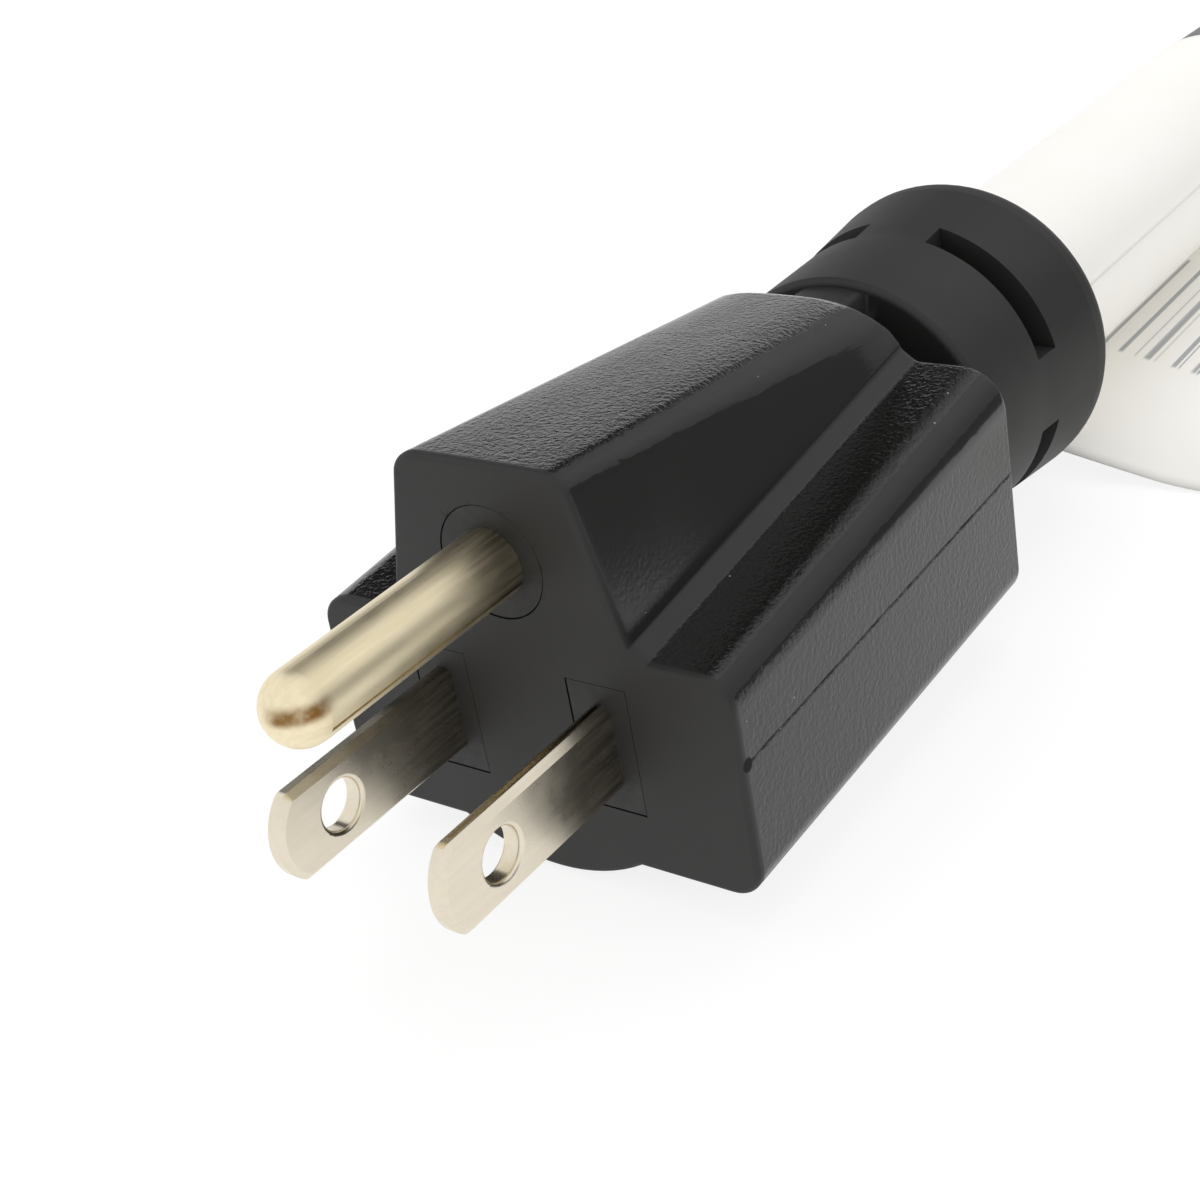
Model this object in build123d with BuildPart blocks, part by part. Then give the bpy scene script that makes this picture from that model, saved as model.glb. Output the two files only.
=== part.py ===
# Short heavy-duty adapter cord: a moulded three-prong plug with a slotted strain relief, a thick
# round cord with a paper flag label wrapped round it, and a moulded outlet on the far end.
# Millimetres, +Z up. The plug lies on its belly, prongs towards -Y and ground prong uppermost,
# and the cord leaves it towards +Y. The origin is on the floor under the middle of the plug.
import os
from math import cos, pi, radians, sin, tan

from build123d import *

os.makedirs("parts", exist_ok=True)

# Prongs, measured from the plug's face and from the blades' centre line
blade_pitch = 12.7
blade_width = 6.3
blade_thickness = 1.5
blade_reach = 16.9
blade_tip_crown = 1.6
blade_tip_corner = 0.7
blade_tip_bevel = 0.45
blade_hole = 3.4
blade_hole_round = 0.3
blade_hole_from_face = 11.5
ground_diameter = 4.75
ground_reach = 19.5
ground_above_blades = 12.0
ground_root_diameter = 5.4
ground_root_from_face = 0.15
seam_width = 0.3
seam_depth = 0.4
ground_seam_angle = -27
prong_root = 12.0

# Crimped tails behind the prongs and contacts
tail_width = 3.4
tail_length = 3.0
barrel_cap = 1.5
barrel_wall = 0.7
barrel_length = 7.0

# Insulated conductors
strand_diameter = 3.0
strand_clearance = 0.04
insulation_diameter = 4.6
strip_gap = 0.8
wire_lay_radius = 2.8
wire_lay_angle = 30
wire_bend_radius = 4.0
wire_bend_lead = 2.2

# Plug body, heights from the blades' centre line
body_length = 37.6
hump_rear_round = 3.2
strip_run = 1.15
strip_rise = 0.85
front_hump_top = 18.7
front_hump_half = 6.4
front_hump_corner = 1.8
front_strip_round = 0.4
front_foot_half = 10.35
front_wing_top = 6.7
front_wing_half = 16.25
front_wing_corner = 2.2
front_skirt_half = 16.5
front_skirt_bottom = -8.95
front_belly_bottom = -11.1
rear_hump_top = 15.4
rear_hump_half = 6.65
rear_hump_corner = 2.8
rear_strip_round = 1.0
rear_foot_half = 9.4
rear_wing_top = 10.4
rear_wing_half = 16.05
rear_wing_corner = 3.2
rear_skirt_half = 16.35
rear_skirt_bottom = -7.5
rear_belly_bottom = -10.5
skirt_corner = 2.2
belly_half = 7.3
face_edge_round = 0.4
face_land = 0.6
rear_edge_round = 0.35
rear_land = 0.6
trim_overlap = 0.02

# Strain relief, the same on both mouldings
neck_gap = 4.9
neck_web = 5.2
neck_web_radius = 11.6
collar_length = 20.7
collar_front_radius = 12.2
collar_waist_radius = 12.4
collar_end_radius = 13.2
collar_end_round = 2.2
collar_front_round = 0.6
collar_flare_from = 9.5
collar_flare_bend = 20.0
collar_land = 3.0
slot_from_collar = 9.1
slot_width = 2.6
slot_web = 6.1
jacket_clearance = 0.12
jacket_inset = 3.6
axis_above_blades = 1.7

# Insert that holds the prongs
blade_boss_width = 4.4
blade_boss_height = 9.15
ground_boss_diameter = 7.7
insert_gap = 0.09
insert_shift = 0.05
insert_plate_from_face = 4.0
insert_half_width = 9.6
insert_half_height = 5.2
insert_post_half_width = 4.6

# Cord and its flag label
cord_diameter = 17.4
arc_share = 0.45
label_from_collar = 0.4
label_width = 57.5
label_thickness = 0.16
label_gap = 0.03
flag_thickness = 0.3
flag_droop = 12.0
flag_reach = 34.0
flag_bend_radius = 30.0
floor_gap = 0.05

# Outlet on the far end
outlet_length = 50.0
outlet_width = 48.0
outlet_height = 46.0
outlet_corner = 10.0
outlet_shoulder = 20.0
outlet_rear_size = 34.0
outlet_rear_corner = 12.0
outlet_face_round = 1.5
core_diameter = 40.0
core_depth = 22.0
core_lip = 6.0
entry_half_spacing = 10.5
entry_below_axis = 6.0
entry_length = 11.6
entry_width = 2.4
entry_angle = 45
ground_entry_diameter = 7.0
ground_entry_above_axis = 10.0
contact_thickness = 0.8
contact_length = 13.0
contact_base = 1.5
contact_grip = 1.7
contact_margin = 0.6
contact_clearance = 0.15
sleeve_bore = 6.2
sleeve_wall = 0.9
sleeve_slit = 1.2

# Places worked out from those sizes
relief_length = neck_gap + collar_length
plug_length = body_length + relief_length
axis_height = collar_end_radius
blade_height = axis_height - axis_above_blades
face_y = (ground_reach - plug_length) / 2
cord_radius = cord_diameter / 2
jacket_bore = cord_diameter + 2 * jacket_clearance
barrel_diameter = strand_diameter + 2 * barrel_wall
tail_end = prong_root + tail_length
jacket_depth = body_length - jacket_inset
outlet_jacket_depth = outlet_length - jacket_inset
outlet_axis_height = outlet_height / 2


# Planes across the plug and the outlet, a depth behind the face, seen from in front of the face
def behind_plug_face(depth):
    return Plane(origin=(0, face_y + depth, blade_height), x_dir=(1, 0, 0), z_dir=(0, -1, 0))


def behind_outlet_face(depth):
    return Plane(origin=(outlet_x - depth, outlet_y, outlet_axis_height), x_dir=(0, 1, 0), z_dir=(1, 0, 0))


# Cord's route: straight through the label, then one easy turn along the floor to the outlet
route_z = cord_radius + floor_gap
route = [
    (0, face_y + jacket_depth, axis_height),
    (0, 122, axis_height),
    (8.3, 169.3, 9.6),
    (33.8, 210, route_z),
    (73.1, 237.5, 13.0),
    (119.9, 248.3, outlet_axis_height),
    (168, 248.3, outlet_axis_height),
]
outlet_x = route[-1][0] + outlet_jacket_depth
outlet_y = route[-1][1]


# One blade: a folded strip with a rounded coined tip, a hole, a seam along one edge and a crimped tail
def blade(side, seam_side):
    x = side * blade_pitch / 2
    tip_shoulder = blade_tip_crown - blade_reach
    flat = Plane(origin=(x - blade_thickness / 2, face_y, blade_height), x_dir=(0, 1, 0), z_dir=(1, 0, 0))
    with BuildPart() as prong:
        with BuildSketch(flat) as outline:
            with BuildLine():
                strip = Polyline(
                    (tip_shoulder, -blade_width / 2),
                    (prong_root, -blade_width / 2),
                    (prong_root, blade_width / 2),
                    (tip_shoulder, blade_width / 2),
                )
                ThreePointArc(strip @ 1, (-blade_reach, 0), strip @ 0)
            make_face()
            fillet(outline.vertices().group_by(Axis.X)[0], blade_tip_corner)
            with Locations((prong_root, 0)):
                Rectangle(tail_length + barrel_cap, tail_width, align=(Align.MIN, Align.CENTER))
            with Locations((-blade_hole_from_face, 0)):
                Circle(blade_hole / 2, mode=Mode.SUBTRACT)
        extrude(amount=blade_thickness)
        tip_end = face_y + tip_shoulder + blade_tip_corner
        tip_edges = [
            edge
            for face in prong.faces().filter_by(Axis.X)
            for edge in face.outer_wire().edges()
            if edge.center().Y < tip_end
        ]
        chamfer(tip_edges, blade_tip_bevel)
        fillet(prong.edges().filter_by(GeomType.CIRCLE).filter_by(on_hole), blade_hole_round)
        with BuildSketch(behind_plug_face(prong_root)):
            with Locations((x, seam_side * blade_width / 2)):
                Rectangle(seam_width, 2 * seam_depth)
        extrude(amount=prong_root - tip_shoulder - blade_tip_corner, mode=Mode.SUBTRACT)
        with BuildSketch(behind_plug_face(tail_end + barrel_length)):
            with Locations((x, 0)):
                Circle(barrel_diameter / 2)
        extrude(amount=barrel_length)
        with BuildSketch(behind_plug_face(tail_end + barrel_length)):
            with Locations((x, 0)):
                Circle(strand_diameter / 2)
        extrude(amount=barrel_length - barrel_cap, mode=Mode.SUBTRACT)
    return prong.part


def on_hole(edge):
    return abs(edge.radius - blade_hole / 2) < blade_hole_round / 2


# Rings on crossed webs behind a moulding's rear face, bored for the cord
def strain_relief(rear):
    flare_end = relief_length - collar_land
    slot_reach = collar_end_radius + slot_width
    across = Plane(origin=rear.origin, x_dir=rear.z_dir, z_dir=rear.y_dir)
    with BuildPart() as relief:
        with BuildSketch(across):
            with BuildLine():
                skin = FilletPolyline(
                    (neck_gap, jacket_bore / 2),
                    (neck_gap, collar_front_radius),
                    (neck_gap + collar_flare_from, collar_waist_radius),
                    (flare_end, collar_end_radius),
                    (relief_length, collar_end_radius),
                    (relief_length, jacket_bore / 2),
                    radius=[collar_front_round, collar_flare_bend, collar_end_round, collar_end_round],
                )
                Line(skin @ 1, skin @ 0)
            make_face()
        revolve(axis=Axis(rear.origin, rear.z_dir))
        with BuildSketch(rear):
            Rectangle(2 * neck_web_radius, neck_web)
            Rectangle(neck_web, 2 * neck_web_radius)
            Circle(neck_web_radius, mode=Mode.INTERSECT)
            Circle(jacket_bore / 2, mode=Mode.SUBTRACT)
        extrude(amount=neck_gap)
        with BuildSketch(rear.offset(neck_gap + slot_from_collar)):
            Circle(slot_reach)
            Rectangle(2 * slot_reach, slot_web, mode=Mode.SUBTRACT)
            Rectangle(slot_web, 2 * slot_reach, mode=Mode.SUBTRACT)
        extrude(amount=slot_width, mode=Mode.SUBTRACT)
    return relief.part


# A wire from a crimped barrel to the jacket's end, as a round bar along two opposite bends
def wire_bar(planes, place, barrel_end, jacket_end, start, lay, diameter):
    first_bend = barrel_end + strip_gap + wire_bend_lead
    last_bend = jacket_end - wire_bend_lead
    stations = [(start, place), (first_bend, place), (last_bend, lay), (jacket_end, lay)]
    points = [planes(depth).from_local_coords(Vector(*spot, 0)) for depth, spot in stations]
    with BuildPart() as bar:
        with BuildLine() as run:
            FilletPolyline(*points, radius=wire_bend_radius)
        with BuildSketch(Plane(origin=points[0], z_dir=points[1] - points[0])):
            Circle(diameter / 2)
        sweep(path=run.line)
    return bar.part


# Bare strands reach the barrel's cap, and the insulation stops short of the barrel. The full bar that
# the insulation is bored from is returned too, as the room that a moulding leaves for the wire
def wire_pair(planes, place, cap_end, barrel_end, jacket_end, lay):
    bare = wire_bar(planes, place, barrel_end, jacket_end, cap_end, lay, strand_diameter)
    cover = wire_bar(planes, place, barrel_end, jacket_end, barrel_end + strip_gap, lay, insulation_diameter)
    bore = wire_bar(
        planes, place, barrel_end, jacket_end, cap_end, lay, strand_diameter + 2 * strand_clearance
    )
    with BuildPart() as insulation:
        add(cover)
        add(bore, mode=Mode.SUBTRACT)
    return insulation.part, bare, cover


# The plug's outline at one depth, from one end of the belly round to the other: skirt, wing, slanted
# strip and hump, then the same on the other side. Every depth has as many edges, so that a loft pairs them
def plug_section(depth, hump, hump_corner, strip_round, foot_half, wing, wing_corner, skirt, belly_bottom):
    strip_top = (foot_half - strip_run, wing[1] + strip_rise)
    right = [(belly_half, skirt[1]), skirt, wing, (foot_half, wing[1]), strip_top, hump]
    left = [(-x, y) for x, y in reversed(right)]
    corners = [skirt_corner, wing_corner, strip_round, strip_round, hump_corner]
    with BuildSketch(behind_plug_face(depth)) as section:
        with BuildLine():
            upper = FilletPolyline(*right, *left, radius=corners + corners[::-1])
            ThreePointArc(upper @ 0, (0, belly_bottom), upper @ 1)
        make_face()
    return section.sketch


# Each finished piece gets its name and its own file
def keep(piece, name):
    piece.label = name
    export_step(piece, f"parts/{name}.step")


# Prongs
neutral_blade = blade(-1, -1)
keep(neutral_blade, "neutral_blade")
line_blade = blade(1, 1)
keep(line_blade, "line_blade")

ground_radius = ground_diameter / 2
ground_height = blade_height + ground_above_blades
ground_tip = ground_radius - ground_reach
with BuildPart() as ground_pin:
    with BuildSketch(Plane(origin=(0, face_y, ground_height), x_dir=(0, 1, 0), z_dir=(1, 0, 0))):
        with BuildLine():
            nose = TangentArc((ground_tip, ground_radius), (-ground_reach, 0), tangent=(-1, 0))
            Polyline(
                nose @ 1,
                (tail_end + barrel_length, 0),
                (tail_end + barrel_length, barrel_diameter / 2),
                (prong_root, barrel_diameter / 2),
                (prong_root, ground_root_diameter / 2),
                (ground_root_from_face, ground_root_diameter / 2),
                (ground_root_from_face, ground_radius),
                nose @ 0,
            )
        make_face()
    revolve(axis=Axis((0, face_y, ground_height), (0, 1, 0)))
    with BuildSketch(behind_plug_face(ground_root_from_face)):
        with Locations((0, ground_above_blades)):
            with PolarLocations(ground_radius, 1, start_angle=ground_seam_angle):
                Rectangle(2 * seam_depth, seam_width)
    extrude(amount=ground_root_from_face - ground_tip, mode=Mode.SUBTRACT)
    with BuildSketch(behind_plug_face(tail_end + barrel_length)):
        with Locations((0, ground_above_blades)):
            Circle(strand_diameter / 2)
    extrude(amount=barrel_length - barrel_cap, mode=Mode.SUBTRACT)
keep(ground_pin.part, "ground_pin")

# Conductors in the plug
half_pitch = blade_pitch / 2
lay_x = wire_lay_radius * cos(radians(wire_lay_angle))
lay_y = wire_lay_radius * sin(radians(wire_lay_angle))
plug_wires = {
    "neutral": ((-half_pitch, 0), (-lay_x, axis_above_blades - lay_y)),
    "line": ((half_pitch, 0), (lay_x, axis_above_blades - lay_y)),
    "ground": ((0, ground_above_blades), (0, axis_above_blades + wire_lay_radius)),
}
plug_inside = []
for name, (place, lay) in plug_wires.items():
    insulation, strands, room = wire_pair(
        behind_plug_face, place, tail_end + barrel_cap, tail_end + barrel_length, jacket_depth, lay
    )
    keep(insulation, f"plug_{name}_insulation")
    keep(strands, f"plug_{name}_strands")
    plug_inside += [room, strands]


# Insert moulded round the prongs: bosses flush with the face, on a plate and post behind it
def insert_block(gap):
    with BuildPart() as block:
        with BuildSketch(behind_plug_face(prong_root)):
            Rectangle(2 * (insert_half_width + gap), 2 * (insert_half_height + gap))
            Rectangle(
                2 * (insert_post_half_width + gap),
                ground_above_blades + ground_boss_diameter / 2 + gap,
                align=(Align.CENTER, Align.MIN),
            )
        extrude(amount=prong_root - insert_plate_from_face + gap)
        with BuildSketch(behind_plug_face(insert_plate_from_face)):
            with Locations((-half_pitch, 0), (half_pitch, 0)):
                Rectangle(blade_boss_width + 2 * gap, blade_boss_height + 2 * gap)
            with Locations((0, ground_above_blades)):
                Circle(ground_boss_diameter / 2 + gap)
        extrude(amount=insert_plate_from_face)
    return block.part


prongs = [neutral_blade, line_blade, ground_pin.part]
insert_solid = insert_block(0)
with BuildPart() as prong_insert:
    add(insert_solid)
    add(prongs, mode=Mode.SUBTRACT)
keep(prong_insert.part, "prong_insert")

# Plug body: a ruled loft between short lands at the face and the rear, its hump rounded off at the
# rear. The insert lies hard up and right in its pocket, so the seam shows most on the other sides
plug_rear = Plane(origin=(0, face_y + body_length, axis_height), x_dir=(1, 0, 0), z_dir=(0, 1, 0))
plug_relief = strain_relief(plug_rear)
insert_pocket = insert_block(insert_gap).moved(Location((-insert_shift, 0, -insert_shift)))
front_section = plug_section(
    depth=face_land,
    hump=(front_hump_half, front_hump_top),
    hump_corner=front_hump_corner,
    strip_round=front_strip_round,
    foot_half=front_foot_half,
    wing=(front_wing_half, front_wing_top),
    wing_corner=front_wing_corner,
    skirt=(front_skirt_half, front_skirt_bottom),
    belly_bottom=front_belly_bottom,
)
rear_section = plug_section(
    depth=body_length - rear_land,
    hump=(rear_hump_half, rear_hump_top),
    hump_corner=rear_hump_corner,
    strip_round=rear_strip_round,
    foot_half=rear_foot_half,
    wing=(rear_wing_half, rear_wing_top),
    wing_corner=rear_wing_corner,
    skirt=(rear_skirt_half, rear_skirt_bottom),
    belly_bottom=rear_belly_bottom,
)
hump_fall = (front_hump_top - rear_hump_top) / (body_length - rear_land - face_land)
hump_line_front = (0, front_hump_top + hump_fall * face_land + trim_overlap)
hump_line_rear = (body_length, rear_hump_top - hump_fall * rear_land + trim_overlap)
with BuildPart() as plug_body:
    extrude(front_section, amount=face_land)
    face_edges = plug_body.faces().sort_by(Axis.Y)[0].edges()
    fillet(face_edges, face_edge_round)
    loft([front_section, rear_section], ruled=True)
    extrude(rear_section, amount=-rear_land)
    rear_edges = plug_body.faces().sort_by(Axis.Y)[-1].edges()
    fillet(rear_edges, rear_edge_round)
    with BuildSketch(Plane(origin=(0, face_y, blade_height), x_dir=(0, 1, 0), z_dir=(1, 0, 0))):
        with BuildLine():
            crown = FilletPolyline(
                hump_line_front,
                hump_line_rear,
                (body_length, rear_wing_top),
                radius=[hump_rear_round],
            )
            Polyline(
                crown @ 1,
                (body_length + hump_rear_round, rear_wing_top),
                (body_length + hump_rear_round, front_hump_top + hump_rear_round),
                (0, front_hump_top + hump_rear_round),
                crown @ 0,
            )
        make_face()
    extrude(amount=front_skirt_half, both=True, mode=Mode.SUBTRACT)
    add(plug_relief)
    with BuildSketch(plug_rear.offset(-jacket_inset)):
        Circle(jacket_bore / 2)
    extrude(amount=jacket_inset, mode=Mode.SUBTRACT)
    add(insert_pocket, mode=Mode.SUBTRACT)
    add(prongs, mode=Mode.SUBTRACT)
    add(plug_inside, mode=Mode.SUBTRACT)
keep(plug_body.part, "plug_body")

# Cord: each arc is as large as its two runs allow
runs = [Vector(b) - Vector(a) for a, b in zip(route, route[1:])]
turns = [radians(before.get_angle(after)) for before, after in zip(runs, runs[1:])]
bend_radii = [
    arc_share * min(before.length, after.length) / tan(turn / 2)
    for before, after, turn in zip(runs, runs[1:], turns)
]
with BuildPart() as cord:
    with BuildLine() as cord_path:
        FilletPolyline(*route, radius=bend_radii)
    with BuildSketch(Plane(origin=route[0], z_dir=(0, 1, 0))):
        Circle(cord_radius)
    sweep(path=cord_path.line)
keep(cord.part, "cord")
cord_length = cord_path.wire().length
print("bend radii", [round(radius, 1) for radius in bend_radii], "length", round(cord_length, 1))
print("volume over section times length", cord.part.volume / (pi * cord_radius**2 * cord_length))

# Label: one turn round the cord, then both ends stuck together as a flag that droops to the floor
label_start = face_y + plug_length + label_from_collar
label_inner = cord_radius + label_gap
flag_radius = label_inner + flag_thickness / 2
flag_floor = floor_gap + flag_thickness / 2 - axis_height
with BuildPart() as label:
    with BuildSketch(
        Plane(origin=(0, label_start + label_width, axis_height), x_dir=(1, 0, 0), z_dir=(0, -1, 0))
    ):
        Circle(label_inner + label_thickness)
        Circle(label_inner, mode=Mode.SUBTRACT)
        with BuildLine():
            leave = Vector(0, -flag_radius).rotate(Axis.Z, -flag_droop)
            heading = Vector(1, 0).rotate(Axis.Z, -flag_droop)
            knee = leave + heading * ((flag_floor - leave.Y) / heading.Y)
            FilletPolyline(leave, knee, (leave.X + flag_reach, flag_floor), radius=[flag_bend_radius])
        trace(line_width=flag_thickness)
    extrude(amount=label_width)
keep(label.part, "label")

# Contacts of the outlet, sprung leaves or a split sleeve on a base with a crimped barrel behind it
contact_front = core_depth - contact_base - contact_length
contact_width = entry_length - 2 * contact_margin
contact_stack = contact_grip + 2 * contact_thickness
sleeve_diameter = sleeve_bore + 2 * sleeve_wall
barrel_end = core_depth + barrel_length


def entry_place(side):
    return Location((side * entry_half_spacing, -entry_below_axis), -side * entry_angle)


def crimp_barrel(place):
    with BuildPart() as barrel:
        with BuildSketch(behind_outlet_face(barrel_end)):
            with Locations(place):
                Circle(barrel_diameter / 2)
        extrude(amount=barrel_length)
        with BuildSketch(behind_outlet_face(barrel_end)):
            with Locations(place):
                Circle(strand_diameter / 2)
        extrude(amount=barrel_length - barrel_cap, mode=Mode.SUBTRACT)
    return barrel.part


def leaf_contact(side):
    barrel = crimp_barrel((side * entry_half_spacing, -entry_below_axis))
    with BuildPart() as contact:
        with BuildSketch(behind_outlet_face(core_depth)):
            with Locations(entry_place(side)):
                Rectangle(contact_width, contact_stack)
        extrude(amount=contact_base + contact_length)
        with BuildSketch(behind_outlet_face(core_depth - contact_base)):
            with Locations(entry_place(side)):
                Rectangle(contact_width, contact_grip)
        extrude(amount=contact_length, mode=Mode.SUBTRACT)
        add(barrel)
    return contact.part


line_contact = leaf_contact(-1)
keep(line_contact, "outlet_line_contact")
neutral_contact = leaf_contact(1)
keep(neutral_contact, "outlet_neutral_contact")

ground_place = (0, ground_entry_above_axis)
ground_barrel = crimp_barrel(ground_place)
with BuildPart() as ground_contact:
    with BuildSketch(behind_outlet_face(core_depth)):
        with Locations(ground_place):
            Circle(sleeve_diameter / 2)
    extrude(amount=contact_base + contact_length)
    with BuildSketch(behind_outlet_face(core_depth - contact_base)):
        with Locations(ground_place):
            Circle(sleeve_bore / 2)
            Rectangle(sleeve_slit, 2 * sleeve_diameter)
    extrude(amount=contact_length, mode=Mode.SUBTRACT)
    add(ground_barrel)
keep(ground_contact.part, "outlet_ground_contact")

# Conductors in the outlet
outlet_wires = {
    "neutral": ((entry_half_spacing, -entry_below_axis), (lay_x, -lay_y)),
    "line": ((-entry_half_spacing, -entry_below_axis), (-lay_x, -lay_y)),
    "ground": (ground_place, (0, wire_lay_radius)),
}
outlet_inside = [line_contact, neutral_contact, ground_contact.part]
for name, (place, lay) in outlet_wires.items():
    insulation, strands, room = wire_pair(
        behind_outlet_face, place, core_depth + barrel_cap, barrel_end, outlet_jacket_depth, lay
    )
    keep(insulation, f"outlet_{name}_insulation")
    keep(strands, f"outlet_{name}_strands")
    outlet_inside += [room, strands]

# Outlet core: a round block with a lipped chamber behind each entry
with BuildPart() as outlet_core:
    with BuildSketch(behind_outlet_face(core_depth)):
        Circle(core_diameter / 2)
    extrude(amount=core_depth)
    with BuildSketch(behind_outlet_face(core_depth)):
        with Locations(entry_place(-1), entry_place(1)):
            Rectangle(entry_length, entry_width)
        with Locations(ground_place):
            Circle(ground_entry_diameter / 2)
    extrude(amount=core_depth, mode=Mode.SUBTRACT)
    with BuildSketch(behind_outlet_face(core_depth)):
        with Locations(entry_place(-1), entry_place(1)):
            Rectangle(contact_width + 2 * contact_clearance, contact_stack + 2 * contact_clearance)
        with Locations(ground_place):
            Circle(sleeve_diameter / 2 + contact_clearance)
    extrude(amount=core_depth - core_lip, mode=Mode.SUBTRACT)
keep(outlet_core.part, "outlet_core")

# Outlet body: a rounded block on a tapered shoulder, with the same strain relief as the plug
outlet_rear = Plane(
    origin=(outlet_x - outlet_length, outlet_y, outlet_axis_height), x_dir=(0, 1, 0), z_dir=(-1, 0, 0)
)
outlet_relief = strain_relief(outlet_rear)
with BuildPart() as outlet_body:
    with BuildSketch(behind_outlet_face(outlet_length)):
        RectangleRounded(outlet_rear_size, outlet_rear_size, outlet_rear_corner)
    with BuildSketch(behind_outlet_face(outlet_length - outlet_shoulder)):
        RectangleRounded(outlet_width, outlet_height, outlet_corner)
    loft(ruled=True)
    with BuildSketch(behind_outlet_face(outlet_length - outlet_shoulder)):
        RectangleRounded(outlet_width, outlet_height, outlet_corner)
    extrude(amount=outlet_length - outlet_shoulder)
    fillet(outlet_body.faces().sort_by(Axis.X)[-1].edges(), outlet_face_round)
    add(outlet_relief)
    with BuildSketch(outlet_rear.offset(-jacket_inset)):
        Circle(jacket_bore / 2)
    extrude(amount=jacket_inset, mode=Mode.SUBTRACT)
    with BuildSketch(behind_outlet_face(core_depth)):
        Circle(core_diameter / 2 + insert_gap)
    extrude(amount=core_depth, mode=Mode.SUBTRACT)
    add(outlet_inside, mode=Mode.SUBTRACT)
keep(outlet_body.part, "outlet_body")
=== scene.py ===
# %% [markdown]
# # Dressing a moulded adapter cord
# The part is the plug end of a short heavy-duty cord: a black moulded plug with plated prongs, a
# slotted strain relief, a thick cord with a flag label, and an outlet on the far end. The solids come
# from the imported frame, at their real size in metres. This script adds what a maker would see and a
# solid doesn't hold: the cord as one smooth curve, the label as a real sheet, the sunken shoulders and
# the parting flash of the moulding, and the finish of every surface.

# %% Load the frame and keep its box
import math

import bmesh
import bpy
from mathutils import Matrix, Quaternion, Vector


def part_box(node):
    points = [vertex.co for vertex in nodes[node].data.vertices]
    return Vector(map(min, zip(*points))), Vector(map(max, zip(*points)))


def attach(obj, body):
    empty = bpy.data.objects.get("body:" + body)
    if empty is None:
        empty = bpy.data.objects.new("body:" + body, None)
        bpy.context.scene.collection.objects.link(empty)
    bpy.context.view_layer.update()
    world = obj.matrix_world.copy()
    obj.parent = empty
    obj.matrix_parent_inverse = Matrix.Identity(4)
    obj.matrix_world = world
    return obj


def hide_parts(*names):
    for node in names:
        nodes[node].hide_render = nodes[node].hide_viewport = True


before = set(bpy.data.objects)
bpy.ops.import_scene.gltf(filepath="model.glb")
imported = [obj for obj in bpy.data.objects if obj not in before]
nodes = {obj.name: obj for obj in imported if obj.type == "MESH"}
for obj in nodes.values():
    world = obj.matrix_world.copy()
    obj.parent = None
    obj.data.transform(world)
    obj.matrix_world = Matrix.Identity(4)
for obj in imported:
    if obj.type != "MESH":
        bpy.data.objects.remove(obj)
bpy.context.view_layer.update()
MM = 0.001

# %% [markdown]
# ## Where the pieces are
# Everything that follows is placed from a few lines on the plug: its face, the rear of its body, the
# end of its collar and the cord's axis. They are read from the frame, so nothing is fitted by eye.

# %% Find the plug's main lines
plug_low, plug_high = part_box("plug_body")
label_low, label_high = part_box("label")
outlet_low, outlet_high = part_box("outlet_body")
cord_radius = 8.7 * MM
relief_length = 25.6 * MM
axis_height = 13.2 * MM
face_y = plug_low.y
collar_end = plug_high.y
body_rear = collar_end - relief_length
print("face, rear and collar end in mm", [round(y / MM, 2) for y in (face_y, body_rear, collar_end)])

# %% [markdown]
# ## Camera
# The view is a close, slightly rolled look down on the prongs. The place, the point aimed at and the
# roll were solved from the prongs' standard sizes, so the camera is written as those three facts. The
# lens is given for a square picture.

# %% Set the camera
camera_place = Vector((72.45, -97.16, 75.86)) * MM
camera_aim = Vector((-5.09, -6.54, 11.5)) * MM
camera_roll = math.radians(-10.52)
camera_data = bpy.data.cameras.new("product_camera")
camera_data.lens = 57.57
camera_data.sensor_width = 36.0
camera_data.clip_start = 0.005
camera = bpy.data.objects.new("product_camera", camera_data)
bpy.context.scene.collection.objects.link(camera)
level = (camera_aim - camera_place).to_track_quat("-Z", "Y")
camera.rotation_mode = "QUATERNION"
camera.rotation_quaternion = level @ Quaternion((0, 0, 1), camera_roll)
camera.location = camera_place
bpy.context.scene.camera = camera
print("camera is", round((camera_aim - camera_place).length / MM), "mm from its aim")

# %% [markdown]
# ## Cord
# The real cord is a round PVC jacket over three heavy conductors, so stiff that it only makes one easy
# turn in its short length. A NURBS spline with the route's points as its control points gives that
# even bend. One more point on the long straight stretch keeps the cord straight under its label. The
# radius is given to the points, and the bevel that it scales is of unit depth.

# %% Lay the cord along its route
route_mm = [
    (0, 12.15, 13.2),
    (0, 74, 13.2),
    (0, 122, 13.2),
    (8.3, 169.3, 9.6),
    (33.8, 210, 8.75),
    (73.1, 237.5, 13.0),
    (119.9, 248.3, 23),
    (168, 248.3, 23),
]
cord_curve = bpy.data.curves.new("cord_jacket", "CURVE")
cord_curve.dimensions = "3D"
cord_curve.bevel_depth = 1.0
cord_curve.bevel_resolution = 10
cord_curve.resolution_u = 14
cord_curve.use_fill_caps = True
spline = cord_curve.splines.new("NURBS")
spline.points.add(len(route_mm) - 1)
for point, place in zip(spline.points, route_mm):
    point.co = (*[c * MM for c in place], 1)
    point.radius = cord_radius
spline.order_u = 3
spline.use_endpoint_u = True
cord = bpy.data.objects.new("cord_jacket", cord_curve)
bpy.context.scene.collection.objects.link(cord)
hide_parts("cord")
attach(cord, "root")
print("cord of", len(route_mm), "points, diameter in mm", 2 * cord_radius / MM)

# %% [markdown]
# ## Label
# The label is one long strip of white film. It goes once round the cord, laps over itself, leaves the
# underside of the cord and ends in a flag that droops to the floor. A sheet like that is easiest as
# its edge line: a chain of edges drawn in the plane across the cord, extruded along it, then given
# its thickness. A little waviness keeps it from looking like bent metal.

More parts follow.
